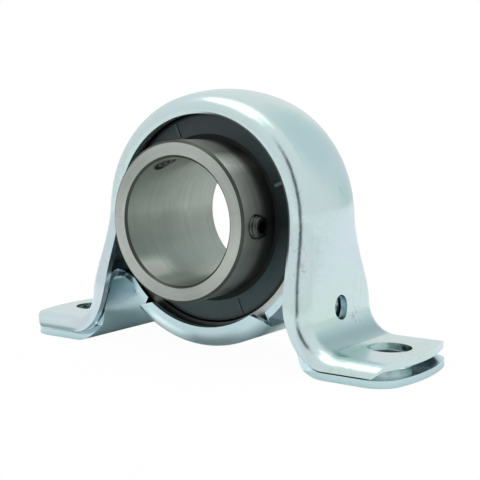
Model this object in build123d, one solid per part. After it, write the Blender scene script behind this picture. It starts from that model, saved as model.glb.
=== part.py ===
from build123d import *
import math
import os

# Pressed-steel pillow block bearing, in millimetres.
# X runs along the feet, Y along the shaft (the set-screw end is the front, -Y), Z is up.
# The origin is on the base plane, midway between the two bolt holes, under the bearing centre.

# ---- driving dimensions -------------------------------------------------------------------

SHAFT_D = 31.75            # shaft the inner ring takes
INNER_RING_WALL = 4.275
INNER_LAND_H = 1.9125      # inner ring's shoulder above the bottom of its race
BALL_D = 9.525
BALL_COUNT = 9
OUTER_LAND_H = 1.8625      # outer ring's shoulder above the bottom of its race
OUTER_RING_WALL = 3.2375   # behind the race, out to the spherical outside
OUTER_RING_W = 19.0
FRONT_REACH = 22.9         # bearing centre to the inner ring's front face
REAR_REACH = 15.2          # bearing centre to the inner ring's rear face

CENTRE_H = 35.3            # base plane to the shaft axis
SHEET = 1.8                # thickness of both pressed shells
FOOT_GAP = 2.3             # between the two feet before the bolts close it
BOLT_SPACING = 95.0
BOLT_HOLE_D = 11.0
BOLT_TO_END = 9.7          # bolt hole's centre to the middle of the foot's end
UPPER_FOOT_W = 36.0
LOWER_FOOT_W = 34.8
ARCH_W = 26.4              # depth of the arch, along the shaft
CRADLE_W = 26.4            # depth of the cradle over its flanges
STRIP_W = 22.0             # depth of the cradle where it has no flanges
FOOT_CORNER_R = 4.5
FOOT_END_R = 50.0          # both shells' feet end in a slight bow

# ---- named clearances ---------------------------------------------------------------------

SEAT_CLEARANCE = 0.1       # insert to both seats, so that it can swivel
RACE_CLEARANCE = 0.012     # ball to either race
POCKET_CLEARANCE = 0.08    # ball to cage pocket
LIP_CLEARANCE = 0.03       # seal lip to inner ring
SCREW_CLEARANCE = 0.04     # set screw to its hole
SEAL_FIT = 0.05            # shield to its seat
RIVET_FIT = 0.02           # rivet to its hole
FOOT_FLANGE_CLEARANCE = 0.5
LEG_CLEARANCE = 0.5        # lower shell's limb to the upper shell's leg

# ---- upper shell --------------------------------------------------------------------------

LEG_SPLAY = 3.0            # degrees each leg leans outwards
LEG_SECTIONS = 6           # down each leg, to carry its flare from the arch's depth to the foot's
ARCH_CORNER_R = 4.2        # outside radius from web to flange
ARCH_CROWN_R = 46.0        # web's outside, across the sheet
ARCH_FLANGE_H = 6.3        # web outside to the flange's inner edge
FOOT_BEND_R = 8.0          # on the top surface, leg to foot
LEG_HOLE_D = 6.2
LEG_HOLE_Z = 14.3
LEG_OPENING_FLARE = 1.1    # half opening between the legs over the arch's, at LEG_OPENING_Z
LEG_OPENING_Z = 20.3       # below this the flange's edge curves out along the foot
FOOT_FLANGE_START = 39.0   # from here outwards its edge is level
FLANGE_END_RUN = 5.4       # the foot flange stops this far short of the foot's end
FLANGE_END_SLANT = 2.5

# ---- lower shell --------------------------------------------------------------------------

LOWER_FOOT_OVERHANG = 0.7  # past the upper shell's foot
LOWER_FOOT_CORNER_R = 7.0
CRADLE_CORNER_R = 2.6
CRADLE_FLANGE_H = 5.1
CRADLE_FLANGE_HALF_ANGLE = 39.0
CRADLE_FLANGE_END_SLANT = 5.0   # degrees its inner edge stops short of that
FOLD_R = 1.3               # inside radius of the fold between cradle and limb
LIMB_BEND_R = 7.0          # on the top surface, limb to foot
LIMB_W = 31.2              # between its tapers, inside the upper shell's flanges
LIMB_TAPER_TOP_Z = 19.0    # above this the limb is as narrow as the strip
LIMB_TAPER_END_Z = 9.5
LIMB_FLARE_Z = 4.6         # below this it widens to the foot

# ---- insert -------------------------------------------------------------------------------

RACE_CONFORMITY = 0.52     # race groove radius over ball diameter
SEAL_SEAT_STEP = 1.0       # seal seat outside the outer ring's land
SEAL_SEAT_DEPTH = 2.1
SEAL_RECESS = 0.3          # shield face behind the outer ring's face
BORE_CHAMFER = 0.65
RING_CHAMFER = 0.55
OUTER_RING_CHAMFER = 0.4
SCREW_D = 6.0
SCREW_FROM_FACE = 5.6      # screw axis behind the inner ring's front face
SCREW_PROUD = 0.75         # screw head above the ring's outside
SCREW_OFF_SHAFT = 0.025    # screw point short of the bore
SCREW_ANGLE = -1.0         # degrees above +X, seen from the front
SCREW_SPREAD = 120.0
SOCKET_ACROSS_FLATS = 3.0
SOCKET_DEPTH = 2.4
SHIELD_SHEET = 1.0
SHIELD_GAP = 1.25          # shield's inner edge to the inner ring
SHIELD_RIM_W = 0.9
RIB_COUNT = 4
RIB_ANGLE = 24.0
RIB_W = 0.8
RIB_H = 0.25
LIP_OVERLAP = 1.2          # lip up the back of the shield
LIP_BACK = 1.2
CAGE_SHEET = 0.8
CAGE_W = 3.0
RIVET_D = 1.6
RIVET_HEAD_D = 2.6
RIVET_HEAD_H = 0.5

# ---- derived sizes ------------------------------------------------------------------------

INNER_RING_R = SHAFT_D / 2 + INNER_RING_WALL
PITCH_R = INNER_RING_R - INNER_LAND_H + BALL_D / 2
OUTER_LAND_R = PITCH_R + BALL_D / 2 - OUTER_LAND_H
INSERT_R = PITCH_R + BALL_D / 2 + OUTER_RING_WALL
SEAL_SEAT_R = OUTER_LAND_R + SEAL_SEAT_STEP
SHIELD_INNER_R = INNER_RING_R + SHIELD_GAP
LIP_OUTER_R = SHIELD_INNER_R + LIP_OVERLAP
SCREW_LENGTH = INNER_RING_WALL + SCREW_PROUD - SCREW_OFF_SHAFT

SEAT_R = INSERT_R + SEAT_CLEARANCE
SHELL_R = SEAT_R + SHEET
ARCH_OPENING_R = SHELL_R - ARCH_FLANGE_H
LEG_OPENING = ARCH_OPENING_R + LEG_OPENING_FLARE
CRADLE_OPENING_R = SHELL_R - CRADLE_FLANGE_H
FLANGE_BLANK_H = 2 * ARCH_FLANGE_H     # trimmed later by the opening
FOOT_LENGTH = BOLT_SPACING + 2 * BOLT_TO_END
FOOT_TOP_Z = 2 * SHEET + FOOT_GAP
SPLAY = math.radians(LEG_SPLAY)
BEND_CENTRE_Z = FOOT_TOP_Z + FOOT_BEND_R
LEG_LENGTH = (CENTRE_H + (SHELL_R + FOOT_BEND_R) * math.sin(SPLAY) - BEND_CENTRE_Z) / math.cos(SPLAY)
BEND_CENTRE_X = (SHELL_R + FOOT_BEND_R) * math.cos(SPLAY) + LEG_LENGTH * math.sin(SPLAY)
FOOT_FLANGE_Z = SHEET + FOOT_FLANGE_CLEARANCE      # flange's edge along the foot
RACE_R = RACE_CONFORMITY * BALL_D
CENTRE = Pos(0, 0, CENTRE_H)


def ring(section):
    """Turn a section drawn with X as radius and Y along the shaft, and lift it to the shaft axis."""
    return CENTRE * revolve(section, Axis.Y, 360)


def section_box(r0, r1, y0, y1):
    """Rectangle in the section plane, from radius r0 to r1 and from y0 to y1 along the shaft."""
    return Pos((r0 + r1) / 2, (y0 + y1) / 2) * Rectangle(r1 - r0, y1 - y0)


def channel_edges(half_width, flatness, inset):
    """Points of one skin of the channel: middle of the web, corner start, middle and end, flange tip."""
    r, corner, half = SHELL_R - inset, ARCH_CORNER_R - inset, half_width - inset
    yc = half - corner
    if flatness < 1:
        crown = ARCH_CROWN_R / (1 - flatness)
        xc = SHELL_R - crown + math.sqrt((crown - ARCH_CORNER_R) ** 2 - yc ** 2)
        lean = math.atan2(yc, xc - SHELL_R + crown)
    else:
        xc, lean = r - corner, 0.0
    start = (xc + corner * math.cos(lean), yc + corner * math.sin(lean))
    mid = (lean + math.pi / 2) / 2
    middle = (xc + corner * math.cos(mid), yc + corner * math.sin(mid))
    return (r, 0.0), start, middle, (xc, half), (SHELL_R - FLANGE_BLANK_H, half)


def channel_section(flare):
    """Closed channel face: web, two rounded corners and two long flanges, one sheet thick.

    Flare runs from 0, as deep as the arch with a crowned web, to 1, as wide as the foot and flat."""
    half_width = (ARCH_W + flare * (UPPER_FOOT_W - ARCH_W)) / 2

    def skin(inset):
        web, start, mid, end, tip = channel_edges(half_width, flare, inset)

        def low(p):
            return (p[0], -p[1])
        web_edge = ThreePointArc(low(start), web, start) if flare < 1 else Line(low(start), start)
        return [Line(low(tip), low(end)), ThreePointArc(low(end), low(mid), low(start)), web_edge,
                ThreePointArc(start, mid, end), Line(end, tip)], tip
    outer, tip_out = skin(0.0)
    inner, tip_in = skin(SHEET)
    ends = [Line(tip_out, tip_in), Line((tip_out[0], -tip_out[1]), (tip_in[0], -tip_in[1]))]
    return make_face(outer + inner + ends)


def plate_outline(length, width, corner_r):
    """Column over the plan of both feet, with bowed ends and rounded corners."""
    half = Pos(length / 4, 0) * Rectangle(length / 2, width)
    half &= Pos(length / 2 - FOOT_END_R, 0) * Circle(FOOT_END_R)
    half = fillet(half.vertices().group_by(Axis.X)[-1], corner_r)
    return both_sides(extrude(half, 4 * CENTRE_H))


def bolt_holes(shape):
    """Pierce both feet."""
    for side in (1, -1):
        shape -= Pos(side * BOLT_SPACING / 2, 0, 0) * Cylinder(BOLT_HOLE_D / 2, 3 * FOOT_TOP_Z)
    return shape


def both_sides(shape):
    """The shape and its mirror image across the shaft's vertical plane."""
    return shape + mirror(shape, Plane.YZ)


def front_view(sketch):
    """Stand a sketch drawn in (x, z) upright and run it right through along the shaft."""
    return extrude(Plane.XZ * sketch, 2 * UPPER_FOOT_W, both=True)


def make_upper_shell():
    crowned, wide = channel_section(0), channel_section(1)
    arch_end = Plane(origin=(0, 0, CENTRE_H), x_dir=(math.cos(SPLAY), 0, math.sin(SPLAY)),
                     z_dir=(-math.sin(SPLAY), 0, math.cos(SPLAY)))
    leg_end = arch_end.offset(-LEG_LENGTH)
    foot_start = Plane(origin=(BEND_CENTRE_X, 0, FOOT_TOP_Z - SHELL_R), x_dir=(0, 0, 1), z_dir=(-1, 0, 0))

    arch = revolve(arch_end * crowned, Axis((0, 0, CENTRE_H), (0, -1, 0)), 180 - 2 * LEG_SPLAY)
    steps = [k / (LEG_SECTIONS - 1) for k in range(LEG_SECTIONS)]
    leg = loft([arch_end.offset(-LEG_LENGTH * t) * channel_section(t * t * (3 - 2 * t)) for t in steps])
    bend_axis = Axis((BEND_CENTRE_X, 0, BEND_CENTRE_Z), (0, -1, 0))
    bend = revolve(leg_end * wide, bend_axis, 90 - LEG_SPLAY)
    foot = extrude(foot_start * wide, -(FOOT_LENGTH / 2 - BEND_CENTRE_X))
    shell = arch + both_sides(leg + bend + foot)

    # The opening inside the flanges: round in the arch, nearly straight down the legs, then a quarter
    # of an ellipse out to the feet, and level along them.
    reach = FOOT_LENGTH
    side = Polygon((0, CENTRE_H), (ARCH_OPENING_R, CENTRE_H), (LEG_OPENING, LEG_OPENING_Z),
                   (FOOT_FLANGE_START, LEG_OPENING_Z), (FOOT_FLANGE_START, FOOT_FLANGE_Z),
                   (reach, FOOT_FLANGE_Z), (reach, -reach), (0, -reach), align=None)
    side -= Pos(FOOT_FLANGE_START, LEG_OPENING_Z) * Ellipse(FOOT_FLANGE_START - LEG_OPENING,
                                                           LEG_OPENING_Z - FOOT_FLANGE_Z)
    flange_x = FOOT_LENGTH / 2 - FLANGE_END_RUN
    side += Polygon((flange_x, FOOT_FLANGE_Z), (flange_x + FLANGE_END_SLANT, FOOT_TOP_Z - SHEET),
                    (reach, FOOT_TOP_Z - SHEET), (reach, -reach), (flange_x, -reach), align=None)
    opening = Pos(0, CENTRE_H) * Circle(ARCH_OPENING_R) + side + mirror(side, Plane.YZ)
    shell -= front_view(opening)

    shell &= plate_outline(FOOT_LENGTH, UPPER_FOOT_W, FOOT_CORNER_R)
    shell -= Pos(0, 0, LEG_HOLE_Z) * Rot(0, 90, 0) * Cylinder(LEG_HOLE_D / 2, FOOT_LENGTH)
    return bolt_holes(shell)


def make_lower_shell():
    # The cradle, concentric with the insert: a plain strip, and a flanged channel at the bottom.
    limb_out = BEND_CENTRE_X - FOOT_BEND_R - SHEET - LEG_CLEARANCE
    limb_in = limb_out - SHEET
    fold_x = limb_in - FOLD_R
    fold_drop = math.sqrt((SHELL_R + FOLD_R) ** 2 - fold_x ** 2)
    fold_z = CENTRE_H - fold_drop
    fold_angle = math.degrees(math.atan2(fold_drop, fold_x))
    strip = section_box(SEAT_R, SHELL_R, -STRIP_W / 2, STRIP_W / 2)
    channel = section_box(CRADLE_OPENING_R, SHELL_R, -CRADLE_W / 2, CRADLE_W / 2)
    channel = fillet(channel.vertices().group_by(Axis.X)[-1], CRADLE_CORNER_R)
    hollow = section_box(0, SEAT_R, SHEET - CRADLE_W / 2, CRADLE_W / 2 - SHEET)
    channel -= fillet(hollow.vertices().group_by(Axis.X)[-1], CRADLE_CORNER_R - SHEET)

    def swept(section, from_angle):
        turn = revolve(section, Axis((0, 0, 0), (0, 1, 0)), 180 - 2 * from_angle)
        return CENTRE * Rot(0, from_angle, 0) * turn

    # Each flange end slants: its inner edge stops short of where it meets the web.
    def at_angle(radius, angle):
        a = math.radians(angle)
        return radius * math.sin(a), -radius * math.cos(a)
    end_angle = CRADLE_FLANGE_HALF_ANGLE
    short_angle = end_angle - CRADLE_FLANGE_END_SLANT
    flange_view = [at_angle(CRADLE_OPENING_R - SHEET, short_angle), at_angle(CRADLE_OPENING_R, short_angle),
                   at_angle(SEAT_R, end_angle), at_angle(SHELL_R + SHEET, end_angle), (0, -2 * SHELL_R)]
    flange_view = flange_view + [(-x, z) for x, z in reversed(flange_view[:-1])]
    cradle = swept(channel, 90 - end_angle) & (CENTRE * front_view(Polygon(*flange_view, align=None)))
    shell = swept(strip, fold_angle) + cradle

    # Fold, limb, bend and foot, drawn in the front view.
    def arc_band(x, z, inner_r, start, stop):
        band = Circle(inner_r + SHEET) - Circle(inner_r)
        spread = 4 * (inner_r + SHEET)
        middle, half = math.radians((start + stop) / 2), math.radians((stop - start) / 2)
        wedge = [(0, 0)]
        for k in (-1, -0.5, 0, 0.5, 1):
            a = middle + k * half
            wedge.append((spread * math.cos(a), spread * math.sin(a)))
        return Pos(x, z) * (band & Polygon(*wedge, align=None))

    def box(x0, x1, z0, z1):
        return Pos((x0 + x1) / 2, (z0 + z1) / 2) * Rectangle(x1 - x0, z1 - z0)
    bend_x, bend_z = limb_out + LIMB_BEND_R, SHEET + LIMB_BEND_R
    side = arc_band(fold_x, fold_z, FOLD_R, 0, 180 - fold_angle)
    side += box(limb_in, limb_out, bend_z, fold_z)
    side += arc_band(bend_x, bend_z, LIMB_BEND_R, 180, 270)
    side += box(bend_x, FOOT_LENGTH / 2 + LOWER_FOOT_OVERHANG, 0, SHEET)
    edge = [(LOWER_FOOT_W / 2, -SHEET), (LOWER_FOOT_W / 2, SHEET), (LIMB_W / 2, LIMB_FLARE_Z),
            (LIMB_W / 2, LIMB_TAPER_END_Z), (STRIP_W / 2, LIMB_TAPER_TOP_Z), (STRIP_W / 2, CENTRE_H)]
    width = Polygon(*edge, *[(-y, z) for y, z in reversed(edge)], align=None)
    limbs = front_view(side) & extrude(Plane.YZ * width, FOOT_LENGTH)
    shell += both_sides(limbs)
    shell &= plate_outline(FOOT_LENGTH + 2 * LOWER_FOOT_OVERHANG, LOWER_FOOT_W, LOWER_FOOT_CORNER_R)
    return bolt_holes(shell)


def make_outer_ring():
    half = OUTER_RING_W / 2
    rim_r = math.sqrt(INSERT_R ** 2 - half ** 2)
    section = Circle(INSERT_R) & section_box(OUTER_LAND_R, 2 * INSERT_R, -half, half)
    for side in (1, -1):
        edge = half - OUTER_RING_CHAMFER
        section -= Polygon((rim_r - OUTER_RING_CHAMFER, side * half), (2 * INSERT_R, side * half),
                           (2 * INSERT_R, side * edge), (rim_r + OUTER_RING_CHAMFER / 2, side * edge),
                           align=None)
        section -= section_box(0, SEAL_SEAT_R, *sorted((side * half, side * (half - SEAL_SEAT_DEPTH))))
    groove_r = PITCH_R + BALL_D / 2 + RACE_CLEARANCE - RACE_R
    return ring(section - Pos(groove_r, 0) * Circle(RACE_R))


def screw_frames():
    """Plane at the shaft axis for each set screw, with its Z pointing out along the screw."""
    frames = []
    for k in range(2):
        a = math.radians(SCREW_ANGLE + k * SCREW_SPREAD)
        frames.append(Plane(origin=(0, SCREW_FROM_FACE - FRONT_REACH, CENTRE_H), x_dir=(0, 1, 0),
                            z_dir=(math.cos(a), 0, math.sin(a))))
    return frames


def make_inner_ring():
    bore, out = SHAFT_D / 2, INNER_RING_R
    front, rear = -FRONT_REACH, REAR_REACH
    b, c = BORE_CHAMFER, RING_CHAMFER
    section = Polygon((bore, front + b), (bore + b, front), (out - c, front), (out, front + c),
                      (out, rear - c), (out - c, rear), (bore + b, rear), (bore, rear - b), align=None)
    groove_r = PITCH_R - BALL_D / 2 - RACE_CLEARANCE + RACE_R
    body = ring(section - Pos(groove_r, 0) * Circle(RACE_R))
    hole_r = SCREW_D / 2
    for frame in screw_frames():
        body -= frame * Pos(0, 0, out) * Cylinder(hole_r, out)
        body -= frame * Pos(0, 0, out) * Cone(hole_r, hole_r + c, c)
    return body


def make_set_screw(frame):
    r = SCREW_D / 2 - SCREW_CLEARANCE
    top = INNER_RING_R + SCREW_PROUD
    edge = SCREW_D / 12
    screw = chamfer(Cylinder(r, SCREW_LENGTH).edges().group_by(Axis.Z)[-1], edge)
    screw = chamfer(screw.edges().group_by(Axis.Z)[0], 2 * edge)
    socket = extrude(RegularPolygon(SOCKET_ACROSS_FLATS / 2, 6, major_radius=False), -SOCKET_DEPTH)
    screw -= Pos(0, 0, SCREW_LENGTH / 2) * socket
    screw -= Pos(0, 0, -SCREW_LENGTH / 2) * Cone(SCREW_D / 4, 0, 2 * SCREW_D / 4)
    return frame * Pos(0, 0, top - SCREW_LENGTH / 2) * screw


def make_shield(end):
    """Pressed shield, its rim seated in the outer ring; end is -1 at the front and 1 at the rear."""
    face = OUTER_RING_W / 2 - SEAL_RECESS
    rim_r = SEAL_SEAT_R - SEAL_FIT
    back = OUTER_RING_W / 2 - SEAL_SEAT_DEPTH + SEAL_FIT
    section = section_box(SHIELD_INNER_R, rim_r, face - SHIELD_SHEET, face)
    section += section_box(rim_r - SHIELD_RIM_W, rim_r, back, face)
    section = fillet(section.vertices().sort_by(Axis.X).group_by(Axis.Y)[-1].sort_by(Axis.X)[-1],
                     SHIELD_SHEET / 3)
    shield = revolve(section, Axis.Y, 360)
    rib_in, rib_out = SHIELD_INNER_R + RIB_W, rim_r - SHIELD_RIM_W
    rib = Pos((rib_in + rib_out) / 2, face, 0) * Box(rib_out - rib_in, 2 * RIB_H, RIB_W)
    for k in range(RIB_COUNT):
        shield += Rot(0, -(RIB_ANGLE + k * 360 / RIB_COUNT), 0) * rib
    return CENTRE * (shield if end > 0 else mirror(shield, Plane.XZ))


def make_lip(end):
    """Rubber lip: runs on the inner ring, wraps the shield's inner edge and its back."""
    face = OUTER_RING_W / 2 - SEAL_RECESS
    run_r = INNER_RING_R + LIP_CLEARANCE
    behind = face - SHIELD_SHEET
    section = section_box(run_r, SHIELD_INNER_R, behind - LIP_BACK, face - RIB_H)
    section += section_box(run_r, LIP_OUTER_R, behind - LIP_BACK, behind)
    lip = revolve(section, Axis.Y, 360)
    return CENTRE * (lip if end > 0 else mirror(lip, Plane.XZ))


def ball_places():
    """Turn about the shaft axis, in degrees, of each ball."""
    return [k * 360 / BALL_COUNT for k in range(BALL_COUNT)]


def make_cage_half(end):
    """One pressed half of the cage: a flat ring with a cup for each ball; end is -1 front, 1 rear."""
    in_r, out_r = PITCH_R - CAGE_W / 2, PITCH_R + CAGE_W / 2
    pocket_r = BALL_D / 2 + POCKET_CLEARANCE
    cup_r = pocket_r + CAGE_SHEET
    flat = revolve(section_box(in_r, out_r, 0, CAGE_SHEET), Axis.Y, 360)
    band = revolve(section_box(in_r, out_r, 0, cup_r), Axis.Y, 360)
    cup = Pos(PITCH_R, 0, 0) * Sphere(cup_r) & band
    pocket = Pos(PITCH_R, 0, 0) * Sphere(pocket_r)
    hole = Pos(PITCH_R, 0, 0) * Rot(90, 0, 0) * Cylinder(RIVET_D / 2 + RIVET_FIT, 4 * CAGE_SHEET)
    half = flat
    for turn in ball_places():
        half += Rot(0, turn, 0) * cup
    for turn in ball_places():
        half -= Rot(0, turn, 0) * pocket
        half -= Rot(0, turn + 180 / BALL_COUNT, 0) * hole
    return CENTRE * (half if end > 0 else mirror(half, Plane.XZ))


def make_rivet(turn):
    shank = Cylinder(RIVET_D / 2, 2 * CAGE_SHEET)
    head = Cylinder(RIVET_HEAD_D / 2, RIVET_HEAD_H)
    head = chamfer(head.edges().group_by(Axis.Z)[-1], RIVET_HEAD_H / 2)
    head = Pos(0, 0, CAGE_SHEET + RIVET_HEAD_H / 2) * head
    rivet = shank + head + mirror(head, Plane.XY)
    return CENTRE * Rot(0, turn, 0) * Pos(PITCH_R, 0, 0) * Rot(90, 0, 0) * rivet


def make_ball(turn):
    return CENTRE * Rot(0, turn, 0) * Pos(PITCH_R, 0, 0) * Rot(90, 0, 0) * Sphere(BALL_D / 2)


nodes = {
    "upper_shell": make_upper_shell(),
    "lower_shell": make_lower_shell(),
    "outer_ring": make_outer_ring(),
    "inner_ring": make_inner_ring(),
    "front_shield": make_shield(-1),
    "rear_shield": make_shield(1),
    "front_lip": make_lip(-1),
    "rear_lip": make_lip(1),
    "cage_front": make_cage_half(-1),
    "cage_rear": make_cage_half(1),
}
for number, frame in enumerate(screw_frames(), 1):
    nodes[f"set_screw_{number}"] = make_set_screw(frame)
for number, turn in enumerate(ball_places(), 1):
    nodes[f"ball_{number}"] = make_ball(turn)
    nodes[f"rivet_{number}"] = make_rivet(turn + 180 / BALL_COUNT)

os.makedirs("parts", exist_ok=True)
for name, shape in nodes.items():
    export_step(shape, f"parts/{name}.step")
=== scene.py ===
import math

import bmesh
import bpy
from mathutils import Matrix, Vector


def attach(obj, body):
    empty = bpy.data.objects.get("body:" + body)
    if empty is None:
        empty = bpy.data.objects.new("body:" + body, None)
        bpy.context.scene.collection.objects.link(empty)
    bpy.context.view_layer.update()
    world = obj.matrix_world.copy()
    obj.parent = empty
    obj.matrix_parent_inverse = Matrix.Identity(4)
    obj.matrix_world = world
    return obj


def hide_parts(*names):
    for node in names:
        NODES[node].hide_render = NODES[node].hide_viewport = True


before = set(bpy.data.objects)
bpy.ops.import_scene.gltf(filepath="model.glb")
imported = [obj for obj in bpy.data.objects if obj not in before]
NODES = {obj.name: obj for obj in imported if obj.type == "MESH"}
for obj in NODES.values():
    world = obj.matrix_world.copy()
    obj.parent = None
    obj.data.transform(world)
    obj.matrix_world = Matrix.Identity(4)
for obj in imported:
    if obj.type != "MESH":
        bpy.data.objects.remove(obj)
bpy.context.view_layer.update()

# Lengths are in metres and named angles in degrees, unless a comment says otherwise. X runs along the
# feet, Y along the shaft (the front is -Y) and Z is up.

CENTRE_H = 0.0353          # shaft axis above the base plane

# ---- shapes made here ---------------------------------------------------------------------

# Set screws: turn about the shaft from +X and height of the top above its axis for each of the two, then
# their place along the shaft, the height of their points and their sizes.
SET_SCREWS = [(-1.0, 0.0219), (119.0, 0.0209)]
SCREW_Y = -0.0173
SCREW_FOOT = 0.0159
SCREW_R = 0.00296
SCREW_SIDES = 72
TOP_CHAMFER = 0.0005
CUP_CHAMFER = 0.0009
CUP_R = SCREW_R / 2        # the cup is a cone that is as deep as this
THREAD_PITCH = 0.001
THREAD_STEPS = 8           # rows of points in each pitch of the thread
THREAD_DEPTH = 0.0005
SOCKET_HALF_FLAT = 0.0015
SOCKET_DEPTH = 0.0028

# Strips of the lower shell between the cradle's flanges and the limbs' folds: radii that hold the sheet,
# the seat's radius, half the depth, the angles from straight down at which the curve starts, is full, is
# still full and ends, and the cuts that give the mesh enough points to curve: how many parts across, and
# the angles round.
STRIP_R = (0.0308, 0.0331)
SEAT_R = 0.0311
STRIP_HALF_W = 0.011
STRIP_ANGLES = (39.1, 39.8, 52.0, 61.0)
STRIP_PARTS = 16
STRIP_ANGLE_CUTS = [39.8] + list(range(41, 61))
STRIP_MARGIN = 3.0         # degrees below the first angle that are cut too
CUT_TOLERANCE = 1e-7       # a point nearer to a cut than this lies on it
WIDE_FACE = 0.7            # how squarely a normal faces the axis on the sheet's wide faces, at least

# ---- camera and light ---------------------------------------------------------------------

CAMERA_AZIMUTH = 34.43
CAMERA_ELEVATION = 6.97
CAMERA_DISTANCE = 0.27965
CAMERA_ROLL = 0.21
CAMERA_TARGET = (0.00355, 0.0, 0.02888)
CAMERA_LENS = 79.98        # mm
CAMERA_SENSOR = 36.0       # mm, its width
CAMERA_NEAREST = 0.01      # what is nearer isn't drawn

# Heights of the tent's foot and top, for a tent of radius 1, and its brightness from foot to top. Then
# patches of it: azimuth, elevation, the angles at which the patch is full and gone, and its colour.
TENT_HEIGHTS = (-0.2, 1.0)
TENT_BY_HEIGHT = [(0.0, 0.80), (0.2, 0.84), (0.5, 0.88), (1.0, 0.92)]
TENT_PATCHES = [(165, 30, 10, 32, (0.68, 0.76, 0.78)),
                (165, 0, 4, 14, (0.62, 0.74, 0.70)),
                (0, 90, 8, 22, (1.6, 1.6, 1.6)),
                (-35, 64, 14, 23, (2.2, 2.2, 2.2))]

# Upright slit in the tent that the camera looks through: its azimuth, the angles from it at which the
# dark is full and gone, the elevations between which it fades out at its top, and its colour.
SLIT_AZIMUTH = 26
SLIT_HALF_ANGLES = (6, 13)
SLIT_TOP = (30, 48)
SLIT_COLOUR = (0.04, 0.06, 0.06, 1)

# Floor: its half width, its colour, the share of it that the camera sees as plain white, and the dark
# sector of it towards the slit: length over half width, and where it starts and is full.
FLOOR_REACH = 4.0
PAPER_COLOUR = (0.94, 0.95, 0.95, 1)
PAPER_WHITE_SHARE = 0.97
DARK_FLOOR_COLOUR = (0.05, 0.05, 0.05, 1)
DARK_FLOOR_SLOPE = 5.0
DARK_FLOOR_REACH = (0.08, 0.2)

# ---- looks --------------------------------------------------------------------------------

WHITE = (1, 1, 1, 1)
BLACK = (0, 0, 0, 1)

# Zinc plate: its two greys, its greener and bluer stains, its specks and its scratches. Then the tint of
# the lower shell over all of those, and how far its pattern is moved, so that the two shells differ.
ZINC_DULL = (0.585, 0.73, 0.75, 1)
ZINC_BRIGHT = (0.635, 0.765, 0.775, 1)
ZINC_GREENISH = (0.585, 0.76, 0.69, 1)
ZINC_BLUISH = (0.63, 0.72, 0.79, 1)
ZINC_SPECK = (0.42, 0.5, 0.52, 1)
ZINC_SCRATCH = (0.38, 0.46, 0.48, 1)
LOWER_ZINC_TINT = (0.91, 0.97, 1.0, 1)
LOWER_ZINC_SHIFT = 0.31

# The two colours between which each other material varies, and the scale of ground steel's fine lines,
# per metre across them.
INNER_RING_COLOURS = ((0.40, 0.43, 0.40, 1), (0.45, 0.48, 0.45, 1))
OUTER_RING_COLOURS = ((0.41, 0.45, 0.435, 1), (0.52, 0.56, 0.545, 1))
SHIELD_COLOURS = ((0.025, 0.043, 0.046, 1), (0.038, 0.062, 0.066, 1))
RUBBER_COLOURS = ((0.011, 0.015, 0.014, 1), (0.020, 0.025, 0.023, 1))
CAGE_COLOURS = ((0.42, 0.42, 0.41, 1), (0.55, 0.55, 0.54, 1))
BALL_COLOURS = ((0.70, 0.70, 0.71, 1), (0.76, 0.76, 0.77, 1))
BLACK_OXIDE_COLOURS = ((0.055, 0.06, 0.055, 1), (0.10, 0.105, 0.095, 1))
GROUND_LINES = 9000

# Painted reflections, highlights and shade as tones against the turn about the shaft, from 0 at its left by
# way of its foot (0.25), right (0.5) and top (0.75) back to its left: painted reflections in the inner ring's
# bore, the painted glint in it, painted reflections on its face and its outside, painted shade and light on
# the outer ring, painted shade on the shield and painted highlights on its ribs.
BORE_REFLECTION_TONES = [(0.0, 0.92), (0.06, 0.92), (0.10, 1.05), (0.16, 1.1), (0.19, 1.2), (0.21, 1.3),
              (0.235, 0.95), (0.265, 0.7), (0.29, 0.6), (0.35, 0.8), (0.70, 0.95), (0.80, 1.0),
              (0.95, 1.05), (0.985, 1.05), (1.0, 0.92)]
BORE_GLINT = [(0.095, 0.0), (0.14, 1.0), (0.152, 1.0), (0.195, 0.0)]
FACE_REFLECTION_TONES = [(0.0, 1.16), (0.083, 1.17), (0.139, 1.08), (0.194, 0.88), (0.25, 0.93), (0.306, 0.86),
              (0.361, 1.05), (0.417, 1.2), (0.472, 1.1), (0.528, 0.93), (0.70, 1.0), (0.805, 0.98),
              (0.86, 0.85), (0.917, 0.88), (0.972, 1.15), (1.0, 1.16)]
OUTSIDE_REFLECTION_TONES = [(0.0, 1.0), (0.278, 1.0), (0.333, 0.5), (0.375, 0.82), (0.417, 0.78), (0.458, 0.8),
                 (0.50, 0.47), (0.542, 0.79), (0.583, 0.92), (0.605, 1.1), (0.625, 1.8), (0.64, 1.5),
                 (0.665, 0.45), (0.708, 0.58), (0.75, 0.7), (0.79, 0.5), (0.85, 0.8), (1.0, 1.0)]
OUTER_RING_LIGHT_AND_SHADE = [(0.0, 0.5), (0.08, 0.2), (0.30, 0.2), (0.36, 1.2), (0.6, 1.2), (0.7, 0.9), (1.0, 0.9)]
SHIELD_SHADE_TONES = [(0.0, WHITE), (0.25, (1.0, 1.25, 1.25, 1)), (0.389, (0.95, 1.2, 1.25, 1)),
                (0.458, (0.6, 0.62, 0.62, 1)), (0.50, (0.25, 0.25, 0.25, 1)),
                (0.542, (0.35, 0.35, 0.35, 1)), (0.583, (0.45, 0.5, 0.5, 1)),
                (0.625, (0.65, 0.75, 0.75, 1)), (0.667, (0.85, 0.9, 0.9, 1)), (1.0, (0.9, 0.95, 0.95, 1))]
RIB_HIGHLIGHT_TONES = [(0.0, 2.2), (0.2, 2.2), (0.28, 1.4), (0.36, 1.4), (0.45, 3.4), (0.65, 3.4), (0.75, 1.7),
             (0.85, 1.7), (1.0, 2.2)]
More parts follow.
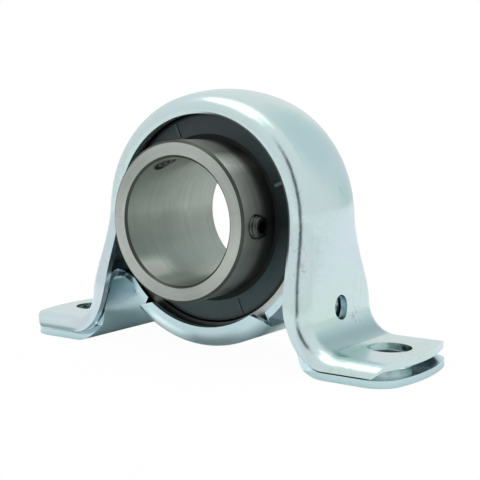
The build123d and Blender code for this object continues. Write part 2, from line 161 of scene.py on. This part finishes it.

# Where those painted tones lie and how they fade, as (none, full) pairs: radii, and places along the shaft.
BORE_R = (0.01605, 0.01595)
GLINT_Y = (-0.008, -0.019)
GLINT_TONE = (2.7, 2.6, 2.6, 1)
BORE_TINT = (0.99, 1.02, 1.0, 1)
OUTSIDE_R = (0.0200, 0.0201)
OUTSIDE_SHADOW_Y = (-0.0155, -0.0125)
OUTSIDE_SHADOW = 0.72
# Painted shade on the chamfers of the inner ring's front face: its radii, its place along the shaft and its
# tone.
BORE_CHAMFER_R = (0.0165, 0.01645)
RIM_CHAMFER_R = (0.0195, 0.0196)
CHAMFER_Y = (-0.0222, -0.0223)
CHAMFER_SHADE_TONE = (0.17, 0.18, 0.16, 1)
# Painted shade in the outer ring beside the groove that holds the shield.
SEAL_GROOVE_R = (0.0272, 0.0270)
SEAL_GROOVE_SHADE = 0.08
RIB_Y = (-0.0093, -0.0094)
SHIELD_EDGE_R = (0.0258, 0.0262)
SHIELD_EDGE_SHADOW = 0.8

# Opening between the upper shell's flanges: its radius in the arch, and how much further apart its sides are
# at a height down the legs. A line of painted shade runs along its edge: its width, X and Z as (none, full)
# pairs, and its colour.
ARCH_OPENING_R = 0.02659
LEG_OPENING_FLARE = 0.0011
LEG_OPENING_Z = 0.0203
EDGE_LINE_W = (0.0006, 0.0003)
EDGE_LINE_X = (-0.002, 0.006)
EDGE_LINE_Z = (0.024, 0.030)
EDGE_SHADE_COLOUR = (0.06, 0.08, 0.08, 1)

# Painted shade in a band of the upper shell's legs above the feet: heights at which it starts, is full, is
# still full and ends, half its depth along the shaft, and its colour. Then painted shade on the hem of its
# left foot.
BEND_Z = (0.0060, 0.0063, 0.0075, 0.0110)
BEND_HALF_W = (0.0155, 0.0130)
BEND_SHADE_COLOUR = (0.40, 0.53, 0.55, 1)
LEFT_HEM_X = (-0.036, -0.041)
LEFT_HEM_Z = (0.0036, 0.0028)
LEFT_HEM_SHADE_COLOUR = (0.21, 0.33, 0.34, 1)
LEFT_HEM_SHARE = 0.75

# Painted highlight and shade on the front fold of the cradle: its tones against X from the first of two
# places (0) to the second (1), then the radii and the places along the shaft where they fade in.
CRADLE_LIGHT_AND_SHADE = [(0.08, 1.0), (0.175, 1.6), (0.3375, 1.35), (0.47, 0.66), (0.725, 0.72), (0.85, 1.0)]
CRADLE_X = (-0.02, 0.02)
CRADLE_R = (0.0290, 0.0305)
CRADLE_Y = (-0.0120, -0.0126)


def add_camera():
    azimuth, elevation = math.radians(CAMERA_AZIMUTH), math.radians(CAMERA_ELEVATION)
    roll = math.radians(CAMERA_ROLL)
    back = Vector((math.sin(azimuth) * math.cos(elevation), -math.cos(azimuth) * math.cos(elevation),
                   math.sin(elevation)))
    right = Vector((math.cos(azimuth), math.sin(azimuth), 0))
    up = back.cross(right)
    turned_right = right * math.cos(roll) + up * math.sin(roll)
    turned_up = up * math.cos(roll) - right * math.sin(roll)
    data = bpy.data.cameras.new("camera")
    data.lens = CAMERA_LENS
    data.sensor_width = CAMERA_SENSOR
    data.clip_start = CAMERA_NEAREST
    camera = bpy.data.objects.new("camera", data)
    bpy.context.scene.collection.objects.link(camera)
    matrix = Matrix((turned_right, turned_up, back)).transposed().to_4x4()
    matrix.translation = Vector(CAMERA_TARGET) + back * CAMERA_DISTANCE
    camera.matrix_world = matrix
    bpy.context.scene.camera = camera


class Nodes:
    """Short way to write a node tree: each call adds a node, sets its inputs and returns its result."""

    def __init__(self, tree):
        self.tree = tree
        tree.nodes.clear()

    def add(self, kind, inputs=None, **settings):
        node = self.tree.nodes.new(kind)
        for key, value in settings.items():
            setattr(node, key, value)
        for key, value in (inputs or {}).items():
            self.feed(node.inputs[key], value)
        return node

    def feed(self, socket, value):
        if isinstance(value, bpy.types.NodeSocket):
            self.tree.links.new(value, socket)
        else:
            socket.default_value = value

    def math(self, operation, a, b=0.0):
        return self.add("ShaderNodeMath", {0: a, 1: b}, operation=operation).outputs[0]

    def times(self, a, b):
        return self.math("MULTIPLY", a, b)

    def vector(self, operation, a, b, result="Vector"):
        return self.add("ShaderNodeVectorMath", {0: a, 1: b}, operation=operation).outputs[result]

    def ramp(self, value, stops, interpolation="LINEAR"):
        node = self.add("ShaderNodeValToRGB", {"Fac": value})
        ramp = node.color_ramp
        ramp.interpolation = interpolation
        while len(ramp.elements) < len(stops):
            ramp.elements.new(0.5)
        for element, (place, colour) in zip(ramp.elements, stops):
            element.position = place
            element.color = colour if isinstance(colour, tuple) else (colour, colour, colour, 1)
        return node.outputs["Color"]

    def remap(self, value, low, high, to_low, to_high):
        return self.add("ShaderNodeMapRange", {0: value, 1: low, 2: high, 3: to_low, 4: to_high}).outputs[0]

    def smooth(self, value, zero_at, one_at):
        """Smooth step from 0 to 1; the step may run either way."""
        if zero_at > one_at:
            return self.math("SUBTRACT", 1.0, self.smooth(value, one_at, zero_at))
        return self.add("ShaderNodeMapRange", {0: value, 1: zero_at, 2: one_at},
                        interpolation_type="SMOOTHSTEP").outputs[0]

    def along(self, vector, aim):
        return self.vector("DOT_PRODUCT", vector, tuple(aim), "Value")

    def noise(self, vector, scale, detail=3.0, rough=0.5, distortion=0.0):
        return self.add("ShaderNodeTexNoise", {"Vector": vector, "Scale": scale, "Detail": detail,
                                               "Roughness": rough, "Distortion": distortion}).outputs["Fac"]

    def mix(self, factor, a, b, blend="MIX"):
        node = self.add("ShaderNodeMix", data_type="RGBA", blend_type=blend)
        for index, value in ((0, factor), (6, a), (7, b)):
            self.feed(node.inputs[index], value)
        return node.outputs[2]

    def tinted(self, a, b):
        return self.mix(1.0, a, b, "MULTIPLY")

    def split(self, vector):
        return tuple(self.add("ShaderNodeSeparateXYZ", {0: vector}).outputs)

    def join(self, x, y, z):
        return self.add("ShaderNodeCombineXYZ", {0: x, 1: y, 2: z}).outputs[0]


def toward(azimuth, elevation):
    """Unit vector from the object; azimuth 0 is its front (-Y) and 90 its right (+X)."""
    a, e = math.radians(azimuth), math.radians(elevation)
    return Vector((math.sin(a) * math.cos(e), -math.cos(a) * math.cos(e), math.sin(e)))


def slit_axes(n, vector):
    """The vector's reach towards the slit, and to the side of it."""
    return n.along(vector, toward(SLIT_AZIMUTH, 0)), n.along(vector, toward(SLIT_AZIMUTH + 90, 0))


def set_world():
    """A white tent with a dark opening that the camera looks through; the camera sees plain white."""
    world = bpy.data.worlds.new("studio")
    bpy.context.scene.world = world
    world.use_nodes = True
    n = Nodes(world.node_tree)
    direction = n.add("ShaderNodeTexCoord").outputs["Generated"]
    height = n.split(direction)[2]
    tent = n.ramp(n.remap(height, *TENT_HEIGHTS, 0.0, 1.0), TENT_BY_HEIGHT)
    for azimuth, elevation, inner, outer, colour in TENT_PATCHES:
        amount = n.smooth(n.along(direction, toward(azimuth, elevation)),
                          math.cos(math.radians(outer)), math.cos(math.radians(inner)))
        tent = n.mix(amount, tent, colour + (1,))
    ahead, aside = slit_axes(n, direction)
    turn = n.math("ABSOLUTE", n.math("ARCTAN2", aside, ahead))
    inner, outer = (math.radians(angle) for angle in SLIT_HALF_ANGLES)
    low, high = (math.sin(math.radians(angle)) for angle in SLIT_TOP)
    dark = n.times(n.smooth(turn, outer, inner), n.smooth(height, high, low))
    tent = n.mix(dark, tent, SLIT_COLOUR)
    light = n.add("ShaderNodeBackground", {"Color": tent, "Strength": 1.0}).outputs[0]
    white = n.add("ShaderNodeBackground", {"Color": WHITE, "Strength": 1.0}).outputs[0]
    seen = n.add("ShaderNodeLightPath").outputs["Is Camera Ray"]
    mixed = n.add("ShaderNodeMixShader", {0: seen, 1: light, 2: white}).outputs[0]
    n.add("ShaderNodeOutputWorld", {"Surface": mixed})


def add_floor():
    """White paper: plain white to the camera, and for the rest dark where the tent opens."""
    mesh = bpy.data.meshes.new("floor")
    reach = FLOOR_REACH
    mesh.from_pydata([(-reach, -reach, 0), (reach, -reach, 0), (reach, reach, 0), (-reach, reach, 0)],
                     [], [(0, 1, 2, 3)])
    floor = bpy.data.objects.new("floor", mesh)
    bpy.context.scene.collection.objects.link(floor)
    material, n, place = new_material("floor")
    ahead, aside = slit_axes(n, place)
    past_edge = n.math("SUBTRACT", ahead, n.times(n.math("ABSOLUTE", aside), DARK_FLOOR_SLOPE))
    dark = n.remap(past_edge, *DARK_FLOOR_REACH, 0.0, 1.0)
    paper = n.add("ShaderNodeBsdfDiffuse", {"Color": n.mix(dark, PAPER_COLOUR, DARK_FLOOR_COLOUR)}).outputs[0]
    white = n.add("ShaderNodeEmission", {"Color": WHITE, "Strength": 1.0}).outputs[0]
    seen = n.times(n.add("ShaderNodeLightPath").outputs["Is Camera Ray"], PAPER_WHITE_SHARE)
    mixed = n.add("ShaderNodeMixShader", {0: seen, 1: paper, 2: white}).outputs[0]
    n.add("ShaderNodeOutputMaterial", {"Surface": mixed})
    mesh.materials.append(material)


# ---- materials ----------------------------------------------------------------------------

def new_material(name):
    material = bpy.data.materials.new(name)
    material.use_nodes = True
    n = Nodes(material.node_tree)
    place = n.add("ShaderNodeTexCoord").outputs["Object"]
    return material, n, place


def finish_material(n, shader_inputs, bumps=()):
    """Bumps are (height, distance, strength); the finest comes last."""
    normal = None
    for height, distance, strength in bumps:
        inputs = {"Height": height, "Distance": distance, "Strength": strength}
        if normal:
            inputs["Normal"] = normal
        normal = n.add("ShaderNodeBump", inputs).outputs[0]
    if normal:
        shader_inputs["Normal"] = normal
    shader = n.add("ShaderNodeBsdfPrincipled", shader_inputs)
    n.add("ShaderNodeOutputMaterial", {"Surface": shader.outputs[0]})


def turned_place(n, place):
    """Radius, place along the shaft and turn about it, for marks that run round the shaft axis."""
    x, y, z = n.split(place)
    up = n.math("SUBTRACT", z, CENTRE_H)
    radius = n.math("SQRT", n.math("ADD", n.times(x, x), n.times(up, up)))
    return radius, y, n.math("ARCTAN2", up, x)


def part_turn(n, turn):
    return n.remap(turn, -math.pi, math.pi, 0.0, 1.0)


def opening_edge_shade(n, place):
    """1 along the inner edge of the arch's flanges, where a line of shade is painted, fading out at its left
    and down its legs.
    """
    x, _, z = n.split(place)
    radius = turned_place(n, place)[0]
    flare = n.remap(z, CENTRE_H, LEG_OPENING_Z, 0.0, LEG_OPENING_FLARE)
    beside = n.math("SUBTRACT", n.math("ABSOLUTE", x), flare)
    in_arch = n.math("GREATER_THAN", z, CENTRE_H)
    reach = n.math("ADD", n.times(in_arch, radius), n.times(n.math("SUBTRACT", 1.0, in_arch), beside))
    edge = n.smooth(reach, *(ARCH_OPENING_R + width for width in EDGE_LINE_W))
    return n.times(edge, n.times(n.smooth(x, *EDGE_LINE_X), n.smooth(z, *EDGE_LINE_Z)))


def upper_zinc_painted_shade(n, place, colour):
    """Painted shade: a darker band above each foot, a dark line along the opening's edge and a darker hem on
    the left foot.
    """
    x, y, z = n.split(place)
    start, full, still_full, end = BEND_Z
    above_foot = n.times(n.smooth(z, start, full), n.smooth(z, end, still_full))
    middle = n.smooth(n.math("ABSOLUTE", y), *BEND_HALF_W)
    colour = n.mix(n.times(above_foot, middle), colour, BEND_SHADE_COLOUR)
    colour = n.mix(opening_edge_shade(n, place), colour, EDGE_SHADE_COLOUR)
    left_hem_shade = n.times(n.smooth(x, *LEFT_HEM_X), n.smooth(z, *LEFT_HEM_Z))
    return n.mix(n.times(left_hem_shade, LEFT_HEM_SHARE), colour, LEFT_HEM_SHADE_COLOUR)


def lower_zinc_painted_light(n, place, colour):
    """Painted light on the cradle's front fold: a painted highlight makes it lighter at its left than at its
    right, where shade is painted.
    """
    radius, along, _ = turned_place(n, place)
    tones = n.ramp(n.remap(n.split(place)[0], *CRADLE_X, 0.0, 1.0), CRADLE_LIGHT_AND_SHADE)
    front_fold = n.times(n.smooth(radius, *CRADLE_R), n.smooth(along, *CRADLE_Y))
    return n.tinted(colour, n.mix(front_fold, WHITE, tones))


def zinc(name, shift, tint_over_all, marks):
    """Bright zinc plate. Marks takes the node writer, the place and the colour, and returns the colour with
    painted shade and highlights on it.
    """
    material, n, place = new_material(name)
    moved = n.vector("ADD", place, (shift, shift * 0.7, 0))
    clouds = n.noise(moved, 55, 4, 0.55, 0.6)
    tint = n.noise(moved, 38, 3, 0.55, 0.8)
    colour = n.mix(n.remap(clouds, 0.3, 0.7, 0, 1), ZINC_DULL, ZINC_BRIGHT)
    colour = n.mix(n.remap(tint, 0.52, 0.70, 0, 0.8), colour, ZINC_GREENISH)
    colour = n.mix(n.remap(tint, 0.48, 0.30, 0, 0.8), colour, ZINC_BLUISH)
    specks = n.noise(moved, 900, 2, 0.6)
    colour = n.mix(n.remap(specks, 0.66, 0.8, 0, 0.45), colour, ZINC_SPECK)
    scuffed = n.remap(n.noise(moved, 60, 2, 0.5, 0.4), 0.58, 0.68, 0, 0.55)
    scratch = n.noise(n.vector("MULTIPLY", moved, (1, 1, 0.25)), 260, 2, 0.5, 1.5)
    scratch = n.remap(n.math("ABSOLUTE", n.math("SUBTRACT", scratch, 0.5)), 0.006, 0.016, 1, 0)
    colour = n.mix(n.times(scuffed, scratch), colour, ZINC_SCRATCH)
    colour = marks(n, place, n.tinted(colour, tint_over_all))
    streaks = n.noise(n.vector("MULTIPLY", moved, (1, 0.12, 1)), 700, 3, 0.6)
    rough = n.math("ADD", n.remap(clouds, 0.3, 0.7, 0.17, 0.24), n.remap(streaks, 0.3, 0.7, -0.02, 0.03))
    finish_material(n, {"Base Color": colour, "Metallic": 1.0, "Roughness": rough},
                    [(n.noise(moved, 70, 2, 0.5), 0.0006, 0.28), (n.noise(moved, 600, 3, 0.6), 0.00008, 0.5),
                     (streaks, 0.00003, 0.4)])
    return material


def across_lines(n, place):
    """Direction on the surface at right angles to the lines that run round the shaft axis."""
    x, _, z = n.split(place)
    around = n.join(n.math("SUBTRACT", z, CENTRE_H), 0.0, n.times(x, -1.0))
    normal = n.add("ShaderNodeNewGeometry").outputs["Normal"]
    across = n.vector("CROSS_PRODUCT", normal, around)
    return n.add("ShaderNodeVectorMath", {0: across}, operation="NORMALIZE").outputs[0]


def darker(colour, share):
    return tuple(share * part for part in colour[:3]) + (1,)


def ground_steel(name, colours, rough_low, rough_high, shade):
    """Steel turned or ground round the shaft axis, with fine lines that run round it.

    Shade takes the node writer, the radius, the place along the shaft and the turn about it, and returns a
    factor for the colour, which paints reflections, highlights and shade on it."""
    material, n, place = new_material(name)
    radius, along, turn = turned_place(n, place)

    def round_the_shaft(scale, turn_scale):
        return n.join(n.times(radius, scale), n.times(along, scale), n.times(turn, turn_scale))

    marks = n.noise(round_the_shaft(GROUND_LINES, 0.6), 1.0, 3, 0.6)
    bands = n.noise(round_the_shaft(GROUND_LINES / 12, 0.4), 1.0, 2, 0.5)
    stain = n.noise(place, 90, 3, 0.6)
    colour = n.mix(n.remap(bands, 0.3, 0.7, 0, 1), *colours)
    colour = n.mix(n.remap(stain, 0.5, 0.8, 0, 0.3), colour, darker(colours[0], 0.75))
    grain = n.noise(place, 3000, 2, 0.6)
    colour = n.mix(n.remap(grain, 0.5, 0.7, 0, 0.25), colour, darker(colours[0], 0.6))
    colour = n.tinted(colour, shade(n, radius, along, turn))
    rough = n.math("ADD", n.remap(marks, 0.3, 0.7, rough_low, rough_high),
                   n.remap(stain, 0.3, 0.7, -0.02, 0.03))
    finish_material(n, {"Base Color": colour, "Metallic": 1.0, "Roughness": rough, "Anisotropic": 0.8,
                        "Tangent": across_lines(n, place)},
                    [(bands, 0.00001, 0.1), (marks, 0.000005, 0.2)])
    return material


def inner_ring_shade(n, radius, along, turn):
    """Painted reflections round the bore, the face and the outside, a painted glint in the bore, painted
    shadow on the outside towards the shield, and painted shade on the front face's chamfers.
    """
    turn = part_turn(n, turn)
    glint = n.times(n.ramp(turn, BORE_GLINT, "EASE"), n.smooth(along, *GLINT_Y))
    bore = n.tinted(n.mix(glint, n.ramp(turn, BORE_REFLECTION_TONES), GLINT_TONE), BORE_TINT)
    tone = n.mix(n.remap(radius, *BORE_R, 0.0, 1.0), n.ramp(turn, FACE_REFLECTION_TONES), bore)
    shadow = n.remap(along, *OUTSIDE_SHADOW_Y, 0.0, OUTSIDE_SHADOW)
    outside = n.mix(shadow, n.ramp(turn, OUTSIDE_REFLECTION_TONES), BLACK)
    tone = n.mix(n.remap(radius, *OUTSIDE_R, 0.0, 1.0), tone, outside)
    at_edges = n.math("MAXIMUM", n.remap(radius, *BORE_CHAMFER_R, 0.0, 1.0),
                      n.remap(radius, *RIM_CHAMFER_R, 0.0, 1.0))
    chamfer = n.times(n.remap(along, *CHAMFER_Y, 0.0, 1.0), at_edges)
    return n.mix(chamfer, tone, CHAMFER_SHADE_TONE)


def outer_ring_shade(n, radius, along, turn):
    """Painted shade beside the groove that holds the shield and where the ring sits deep in the cradle, and
    painted light at its lower right.
    """
    groove = n.remap(radius, *SEAL_GROOVE_R, 1.0, SEAL_GROOVE_SHADE)
    return n.times(groove, n.ramp(part_turn(n, turn), OUTER_RING_LIGHT_AND_SHADE))


def shield_shade(n, radius, along, turn):
    """Painted shadow at the sheet's edge, down in the groove of the outer ring, painted shade round the
    shield that is darkest at its right, and painted highlights on the ribs.
    """
    turn = part_turn(n, turn)
    on_ribs = n.remap(along, *RIB_Y, 0.0, 1.0)
    tones = n.mix(on_ribs, n.ramp(turn, SHIELD_SHADE_TONES), n.ramp(turn, RIB_HIGHLIGHT_TONES))
    return n.mix(n.remap(radius, *SHIELD_EDGE_R, 0.0, SHIELD_EDGE_SHADOW), tones, BLACK)


def coated_sheet(name, colours, rough, metallic=0.0, scale=140, shine=0.5, shade=None):
    """Even sheet, rubber or smooth steel, with faint clouds and grain; shade is as for ground steel."""
    material, n, place = new_material(name)
    clouds = n.noise(place, scale, 4, 0.6, 0.4)
    grain = n.noise(place, scale * 14, 2, 0.6)
    colour = n.mix(n.remap(clouds, 0.3, 0.7, 0, 1), *colours)
    if shade:
        colour = n.tinted(colour, shade(n, *turned_place(n, place)))
    roughness = n.math("ADD", n.remap(clouds, 0.3, 0.7, rough - 0.05, rough + 0.06),
                       n.remap(grain, 0.3, 0.7, -0.03, 0.03))
    finish_material(n, {"Base Color": colour, "Metallic": metallic, "Roughness": roughness,
                        "Specular IOR Level": shine},
                    [(grain, 0.00003, 0.3)])
    return material


# ---- meshes that take the place of CAD nodes ----------------------------------------------

def stand_in(name, mesh, material, body, node):
    mesh.materials.clear()
    mesh.materials.append(material)
    piece = bpy.data.objects.new(name, mesh)
    bpy.context.scene.collection.objects.link(piece)
    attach(piece, body)
    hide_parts(node)


def set_screw(number, turn, top, material):
    """Threaded set screw with a hexagon socket and a cup point, in place of its plain CAD node."""
    sides = SCREW_SIDES
    turns = [2 * math.pi * step / sides for step in range(sides)]
    hexagon = [SOCKET_HALF_FLAT / math.cos(a % (math.pi / 3) - math.pi / 6) for a in turns]
    rows = [[(r, top - SOCKET_DEPTH) for r in hexagon], [(r, top) for r in hexagon]]
    steps = round((top - SCREW_FOOT) / THREAD_PITCH * THREAD_STEPS)
    for step in range(steps + 1):
        height = top - step * THREAD_PITCH / THREAD_STEPS
        ends = min(SCREW_R - TOP_CHAMFER + top - height, SCREW_R - CUP_CHAMFER + height - SCREW_FOOT)
        depths = [THREAD_DEPTH * abs(2 * ((height / THREAD_PITCH - a / math.tau) % 1) - 1) for a in turns]
        rows.append([(min(ends, SCREW_R - depth), height) for depth in depths])
    rows.append([(CUP_R, SCREW_FOOT)] * sides)
    out = Vector((math.cos(turn), 0, math.sin(turn)))
    side = Vector((0, 1, 0))
    other = out.cross(side)
    start = Vector((0, SCREW_Y, CENTRE_H))
    points = [start + out * height + (side * math.cos(a) + other * math.sin(a)) * radius
              for row in rows for a, (radius, height) in zip(turns, row)]
    faces = [(row * sides + k, (row + 1) * sides + k, (row + 1) * sides + (k + 1) % sides,
              row * sides + (k + 1) % sides) for row in range(len(rows) - 1) for k in range(sides)]
    smooth = [1 < row < len(rows) - 2 for row in range(len(rows) - 1) for k in range(sides)]
    last = (len(rows) - 1) * sides
    points += [start + out * (top - SOCKET_DEPTH), start + out * (SCREW_FOOT + CUP_R)]
    for k in range(sides):
        after = (k + 1) % sides
        faces += [(len(points) - 2, k, after), (last + k, len(points) - 1, last + after)]
        smooth += [False, False]
    name = f"threaded_screw_{number}"
    mesh = bpy.data.meshes.new(name)
    mesh.from_pydata(points, [], faces)
    mesh.polygons.foreach_set("use_smooth", smooth)
    stand_in(name, mesh, material, f"screw_{number}", f"set_screw_{number}")


def on_strip(point):
    return STRIP_R[0] < math.hypot(point.x, CENTRE_H - point.z) < STRIP_R[1]


def angle_from_foot(point):
    return math.degrees(math.atan2(abs(point.x), CENTRE_H - point.z))


def strip_share(point):
    """How far, from 0 to 1, a point of the lower shell takes part in the strips' curve."""
    if not on_strip(point):
        return 0.0
    angle = angle_from_foot(point)
    start, full, still_full, end = STRIP_ANGLES
    amount = max(min((angle - start) / (full - start), (end - angle) / (end - still_full), 1.0), 0.0)
    return amount * amount * (3 - 2 * amount)


def cut_strips(shape):
    """Cuts the strips across and round, so that they have enough points to curve."""
    cuts = [((0, STRIP_HALF_W * (2 * part / STRIP_PARTS - 1), 0), (0, 1, 0))
            for part in range(1, STRIP_PARTS)]
    cuts += [((0, 0, CENTRE_H), (side * math.cos(math.radians(angle)), 0, math.sin(math.radians(angle))))
             for angle in STRIP_ANGLE_CUTS for side in (-1, 1)]
    for start, normal in cuts:
        faces = [face for face in shape.faces if all(on_strip(vertex.co) for vertex in face.verts)
                 and angle_from_foot(face.calc_center_median()) > STRIP_ANGLES[0] - STRIP_MARGIN]
        edges = dict.fromkeys(edge for face in faces for edge in face.edges)
        vertices = dict.fromkeys(vertex for face in faces for vertex in face.verts)
        bmesh.ops.bisect_plane(shape, geom=faces + list(edges) + list(vertices), plane_co=start,
                               plane_no=normal, dist=CUT_TOLERANCE)


def curve_strips(shape, normals):
    """Moves the strips' points in to the seat's sphere and tilts the normals of the sheet's wide faces."""
    for vertex in shape.verts:
        amount = strip_share(vertex.co)
        if not amount:
            continue
        across = max(-STRIP_HALF_W, min(STRIP_HALF_W, vertex.co.y))
        sphere_r = math.sqrt(SEAT_R ** 2 - across ** 2)
        outwards = Vector((vertex.co.x, 0, vertex.co.z - CENTRE_H)).normalized()
        for loop in vertex.link_loops:
            facing = loop[normals].dot(outwards)
            if abs(facing) > WIDE_FACE:
                tilt = Vector((0, facing * amount * across / sphere_r, 0))
                loop[normals] = (loop[normals] + tilt).normalized()
        vertex.co -= outwards * amount * (SEAT_R - sphere_r)


def curved_lower_shell(material):
    """The lower shell with its bare strips curved in at both edges, as the spherical seat presses them."""
    mesh = NODES["lower_shell"].data.copy()
    mesh.name = "curved_lower_shell"
    shape = bmesh.new()
    shape.from_mesh(mesh)
    normals = shape.loops.layers.float_vector.new("kept_normal")
    for face in shape.faces:
        for loop in face.loops:
            loop[normals] = mesh.corner_normals[loop.index].vector
    cut_strips(shape)
    curve_strips(shape, normals)
    shape.to_mesh(mesh)
    shape.free()
    kept = mesh.attributes["kept_normal"]
    corner_normals = [item.vector.copy() for item in kept.data]
    mesh.attributes.remove(kept)
    mesh.normals_split_custom_set(corner_normals)
    stand_in("curved_lower_shell", mesh, material, "housing", "lower_shell")


def dress(node, material):
    mesh = NODES[node].data
    mesh.materials.clear()
    mesh.materials.append(material)


def main():
    add_camera()
    set_world()
    add_floor()

    dress("upper_shell", zinc("zinc_upper", 0.0, WHITE, upper_zinc_painted_shade))
    curved_lower_shell(zinc("zinc_lower", LOWER_ZINC_SHIFT, LOWER_ZINC_TINT, lower_zinc_painted_light))
    dress("inner_ring", ground_steel("inner_ring_steel", INNER_RING_COLOURS, 0.34, 0.44, inner_ring_shade))
    dress("outer_ring", ground_steel("outer_ring_steel", OUTER_RING_COLOURS, 0.26, 0.36, outer_ring_shade))
    coat = coated_sheet("shield_coat", SHIELD_COLOURS, 0.42, shade=shield_shade)
    rubber = coated_sheet("seal_rubber", RUBBER_COLOURS, 0.7, scale=300, shine=0.25)
    for end in ("front", "rear"):
        dress(f"{end}_shield", coat)
        dress(f"{end}_lip", rubber)
    cage = coated_sheet("cage_steel", CAGE_COLOURS, 0.35, metallic=1.0)
    ball = coated_sheet("ball_steel", BALL_COLOURS, 0.12, metallic=1.0, scale=60)
    screw = coated_sheet("black_oxide", BLACK_OXIDE_COLOURS, 0.28, metallic=1.0, scale=500)
    dress("cage_front", cage)
    dress("cage_rear", cage)
    for number in range(1, 10):
        dress(f"ball_{number}", ball)
        dress(f"rivet_{number}", cage)
    for number, (turn, top) in enumerate(SET_SCREWS, 1):
        set_screw(number, math.radians(turn), top, screw)

    bpy.context.scene.view_settings.view_transform = "Standard"


main()
